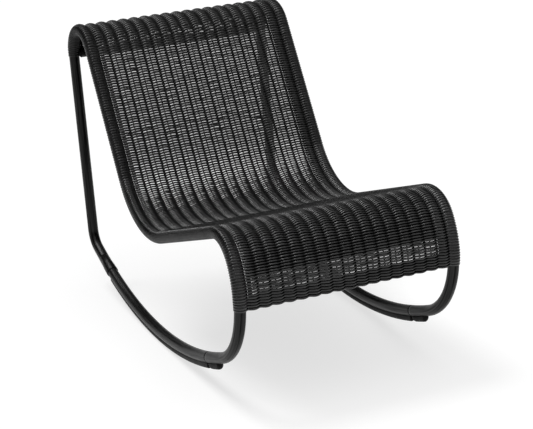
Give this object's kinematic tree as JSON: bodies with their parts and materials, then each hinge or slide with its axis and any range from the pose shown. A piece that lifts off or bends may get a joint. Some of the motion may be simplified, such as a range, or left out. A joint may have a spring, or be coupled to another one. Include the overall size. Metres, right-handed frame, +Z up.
{
  "type": "wicker rocking chair",
  "caption": "Low lounge rocker: two closed loops of bent black pole with one long ribbed wicker panel stretched between them as back, seat and skirt.",
  "frame": {"origin": "centre of the chair's box on the floor, under the lowest facet of the runners", "axes": "+X to the chair's right seen from the front, -Y the way the chair faces, +Z up"},
  "size_m": [0.6132, 1.1172, 0.7691],
  "materials": {
    "pole": "satin",
    "rail": "matte",
    "weave": "satin",
    "runner": "satin",
    "collar": "satin",
    "pad": "matte",
    "key": "matte"
  },
  "bodies": {
    "root": {"side_pole_left": "pole", "rocker_pole_left": "pole", "runner_strip_left": "runner", "stop_pad_left": "pad", "splice_collar_left": "collar", "side_pole_right": "pole", "rocker_pole_right": "pole", "runner_strip_right": "runner", "stop_pad_right": "pad", "splice_collar_right": "collar", "skirt_rail": "rail", "seat_front_rail": "rail", "crotch_rail": "rail", "rear_rail": "rail", "weave_front": "weave", "weave_seat": "weave", "weave_back": "weave", "weave_top": "weave", "seam_keys": "key", "splice_keys": "key"}
  },
  "joints": []
}
